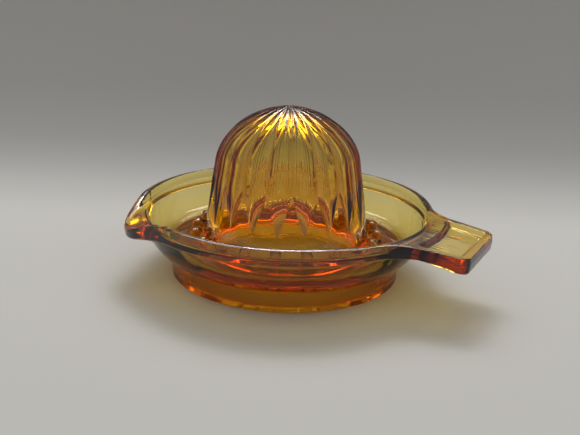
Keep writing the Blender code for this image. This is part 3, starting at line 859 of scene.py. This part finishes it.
def hollow_section():
    """Section of the recess in the foot and the dome's inside, as radius and height."""
    mouth = cone_radius(FLOOR_UNDERSIDE) - DOME_WALL
    section = []
    for turn in np.radians(np.linspace(0.0, 90.0, HOLLOW_FILLET_ROWS)):
        section.append((
            FOOT_INNER_RADIUS - FOOT_INNER_DRAFT - FOOT_INNER_FILLET * (1.0 - math.cos(turn)),
            FLOOR_UNDERSIDE - FOOT_INNER_FILLET + FOOT_INNER_FILLET * math.sin(turn),
        ))
    section.append(((mouth + FOOT_INNER_RADIUS) / 2.0, FLOOR_UNDERSIDE))
    for turn in np.radians(np.linspace(90.0, 0.0, HOLLOW_FILLET_ROWS)):
        section.append((
            mouth + HOLLOW_MOUTH * (1.0 - math.cos(turn)),
            FLOOR_UNDERSIDE + HOLLOW_MOUTH * (1.0 - math.sin(turn)),
        ))
    for height in np.linspace(FLOOR_HEIGHT, DOME_SHOULDER_HEIGHT, HOLLOW_SIDE_ROWS)[:-1]:
        section.append((cone_radius(height) - DOME_WALL, height))
    rise = DOME_HEIGHT - DOME_CROWN - DOME_SHOULDER_HEIGHT
    reach = DOME_SHOULDER_RADIUS - DOME_WALL
    for turn in np.radians(np.linspace(0.0, HOLLOW_LAST_TURN, HOLLOW_CAP_ROWS)):
        section.append((reach * math.cos(turn), DOME_SHOULDER_HEIGHT + rise * math.sin(turn)))
    return section


def add_hollow(glass, foot_edge):
    """The underside of the floor and the smooth inside of the dome, on every other column."""
    fine = column_angles()
    angles = fine[::2]
    rings = []
    for radius, height in hollow_section():
        waves = plunger_waves(angles, height) * smoothstep((height - WAVE_START) / WAVE_FADE)
        calmed = waves * min(1.0, radius / WAVE_CALM_RADIUS)
        rings.append(glass.ring(radius + calmed, angles, height))
    glass.bridge_nested(foot_edge, rings[0], fine, angles)
    glass.bridge_all(rings)
    glass.cap(rings[-1], True)


def build_glass():
    glass = GlassMesh()
    dome_foot = add_dome(glass)
    guards_edge = add_guards(glass, dome_foot)
    rim_edge = add_bowl(glass, guards_edge)
    collar_edge, collar_angles = add_rim(glass, rim_edge)
    foot_edge = add_outside(glass, collar_edge, collar_angles)
    add_hollow(glass, foot_edge)
    body = bpy.data.objects.new(PIECE, glass.build(PIECE))
    bpy.context.scene.collection.objects.link(body)
    return body


# Materials

class Nodes:
    """Node tree of a new material, with the few kinds of node that are used here."""

    def __init__(self, name):
        self.material = bpy.data.materials.new(name)
        self.material.use_nodes = True
        self.tree = self.material.node_tree
        self.shader = self.tree.nodes["Principled BSDF"]
        self.output = self.tree.nodes["Material Output"]

    def add(self, kind):
        return self.tree.nodes.new(kind)

    def link(self, source, target):
        self.tree.links.new(source, target)

    def noise(self, place, scale, detail, distortion=0.0):
        noise = self.add("ShaderNodeTexNoise")
        noise.inputs["Scale"].default_value = scale
        noise.inputs["Detail"].default_value = detail
        noise.inputs["Distortion"].default_value = distortion
        self.link(place.outputs["Object"], noise.inputs["Vector"])
        return noise.outputs["Fac"]

    def map_range(self, value, source, target):
        span = self.add("ShaderNodeMapRange")
        span.inputs["From Min"].default_value, span.inputs["From Max"].default_value = source
        span.inputs["To Min"].default_value, span.inputs["To Max"].default_value = target
        self.link(value, span.inputs["Value"])
        return span.outputs["Result"]

    def maths(self, operation, *values):
        """A Math node; each value is a number or another node's output."""
        maths = self.add("ShaderNodeMath")
        maths.operation = operation
        for slot, value in zip(maths.inputs, values):
            if isinstance(value, float):
                slot.default_value = value
            else:
                self.link(value, slot)
        return maths.outputs["Value"]

    def bump(self, height, distance, below=None):
        bump = self.add("ShaderNodeBump")
        bump.inputs["Distance"].default_value = distance
        self.link(height, bump.inputs["Height"])
        if below is not None:
            self.link(below, bump.inputs["Normal"])
        return bump.outputs["Normal"]


def amber_material():
    """Clear amber glass, a little wavy from the mould, with short scratches and a thin film."""
    nodes = Nodes("amber_pressed_glass")
    shader = nodes.shader
    shader.inputs["Base Color"].default_value = (1.0, 1.0, 1.0, 1.0)
    shader.inputs["IOR"].default_value = GLASS_IOR
    shader.inputs["Transmission Weight"].default_value = 1.0
    place = nodes.add("ShaderNodeTexCoord")

    swell = nodes.noise(place, SWELL_SCALE, SWELL_DETAIL)
    trail = nodes.noise(place, SCRATCH_SCALE, 0.0, SCRATCH_BEND)
    off_line = nodes.maths("ABSOLUTE", nodes.maths("SUBTRACT", trail, 0.5))
    line = nodes.map_range(off_line, (0.0, SCRATCH_WIDTH), (1.0, 0.0))
    patch = nodes.noise(place, SCRATCH_PATCH_SCALE, SCRATCH_PATCH_DETAIL)
    scratch = nodes.maths(
        "MULTIPLY", line, nodes.map_range(patch, SCRATCH_PATCH_RANGE, (0.0, 1.0))
    )
    film = nodes.noise(place, FILM_SCALE, FILM_DETAIL)
    roughness = nodes.maths(
        "ADD",
        nodes.map_range(film, FILM_RANGE, (0.0, FILM_ROUGHNESS)),
        nodes.maths("MULTIPLY", scratch, SCRATCH_ROUGHNESS),
    )
    nodes.link(roughness, shader.inputs["Roughness"])
    wavy = nodes.bump(swell, SWELL_HEIGHT)
    nodes.link(nodes.bump(scratch, SCRATCH_HEIGHT, wavy), shader.inputs["Normal"])

    absorption = nodes.add("ShaderNodeVolumeAbsorption")
    absorption.inputs["Color"].default_value = ABSORPTION_COLOUR
    absorption.inputs["Density"].default_value = ABSORPTION_DENSITY
    nodes.link(absorption.outputs["Volume"], nodes.output.inputs["Volume"])
    return nodes.material


def floor_material():
    """Matt and pale. Its back is clear, so that the curve behind hides no other view."""
    nodes = Nodes("pale_floor")
    nodes.shader.inputs["Base Color"].default_value = FLOOR_COLOUR
    nodes.shader.inputs["Roughness"].default_value = FLOOR_ROUGHNESS
    side = nodes.add("ShaderNodeNewGeometry")
    clear = nodes.add("ShaderNodeBsdfTransparent")
    either = nodes.add("ShaderNodeMixShader")
    nodes.link(side.outputs["Backfacing"], either.inputs["Fac"])
    nodes.link(nodes.shader.outputs["BSDF"], either.inputs[1])
    nodes.link(clear.outputs["BSDF"], either.inputs[2])
    nodes.link(either.outputs["Shader"], nodes.output.inputs["Surface"])
    return nodes.material


# Stage, light and camera

def camera_sideways():
    """Level direction to the camera's right."""
    return Vector((-math.sin(CAMERA_AZIMUTH), math.cos(CAMERA_AZIMUTH), 0.0))


def build_floor():
    """A plain sheet, flat under the object and curved up behind it as the camera sees it.

    It lies a hair below the foot, so that light leaves the glass before it meets it. The
    ground goes on flat behind the curve, for the views from there.
    """
    curved = [(-FLOOR_REACH, 0.0), (-FLOOR_FRONT, 0.0), (COVE_START, 0.0)]
    for turn in np.linspace(0.0, math.pi / 2.0, COVE_ROWS)[1:]:
        curved.append((
            COVE_START + COVE_RADIUS * math.sin(turn),
            COVE_RADIUS * (1.0 - math.cos(turn)),
        ))
    curved.append((COVE_START + COVE_RADIUS, COVE_TOP))
    flat = [(COVE_START, 0.0), (FLOOR_REACH, 0.0)]
    away = Vector((-math.cos(CAMERA_AZIMUTH), -math.sin(CAMERA_AZIMUTH), 0.0))
    aside = camera_sideways()
    vertices = []
    faces = []
    for line in (curved, flat):
        first = len(vertices)
        for back, height in line:
            for side in (-FLOOR_REACH, FLOOR_REACH):
                place = away * back + aside * side
                vertices.append(place + Vector((0.0, 0.0, height - FLOOR_GAP)))
        for low in range(first, len(vertices) - 2, 2):
            faces.append((low, low + 1, low + 3, low + 2))
    mesh = bpy.data.meshes.new("floor")
    mesh.from_pydata(vertices, [], faces)
    mesh.shade_smooth()
    floor = bpy.data.objects.new("floor", mesh)
    floor.data.materials.append(floor_material())
    bpy.context.scene.collection.objects.link(floor)


def build_camera():
    data = bpy.data.cameras.new("camera")
    data.sensor_width = SENSOR_WIDTH
    data.lens = FOCAL_PIXELS / PHOTO_WIDTH * SENSOR_WIDTH
    data.clip_start = CLIP_START
    camera = bpy.data.objects.new("camera", data)
    bpy.context.scene.collection.objects.link(camera)
    foot = Vector((AXIS_X, 0.0, 0.0)) * MM
    outward = Vector((
        math.cos(CAMERA_ELEVATION) * math.cos(CAMERA_AZIMUTH),
        math.cos(CAMERA_ELEVATION) * math.sin(CAMERA_AZIMUTH),
        math.sin(CAMERA_ELEVATION),
    ))
    right = camera_sideways()
    up = outward.cross(right)
    forward = (
        -outward * math.cos(CAMERA_YAW) * math.cos(CAMERA_PITCH)
        + right * math.sin(CAMERA_YAW) * math.cos(CAMERA_PITCH)
        + up * math.sin(CAMERA_PITCH)
    )
    side = forward.cross(up).normalized()
    top = side.cross(forward).normalized()
    rolled_side = side * math.cos(CAMERA_ROLL) + top * math.sin(CAMERA_ROLL)
    rolled_top = top * math.cos(CAMERA_ROLL) - side * math.sin(CAMERA_ROLL)
    turn = Matrix((rolled_side, rolled_top, -forward)).transposed()
    place = foot + outward * CAMERA_DISTANCE * MM
    camera.matrix_world = Matrix.Translation(place) @ turn.to_4x4()
    bpy.context.scene.camera = camera


def build_world():
    world = bpy.data.worlds.new("studio")
    world.use_nodes = True
    background = world.node_tree.nodes["Background"]
    background.inputs["Color"].default_value = FILL_COLOUR
    background.inputs["Strength"].default_value = 1.0
    bpy.context.scene.world = world


def build_lamps():
    for name, place, size, power in LAMPS:
        data = bpy.data.lights.new(name, "AREA")
        data.shape = "RECTANGLE"
        data.size, data.size_y = size
        data.energy = power
        data.color = LAMP_COLOUR
        lamp = bpy.data.objects.new(name, data)
        lamp.location = place
        lamp.rotation_euler = (-Vector(place)).to_track_quat("-Z", "Y").to_euler()
        bpy.context.scene.collection.objects.link(lamp)


glass_body = build_glass()
glass_body.data.materials.append(amber_material())
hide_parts(NODE)
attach(glass_body, "root")
build_floor()
build_camera()
build_world()
build_lamps()
bpy.context.scene.view_settings.view_transform = "Standard"
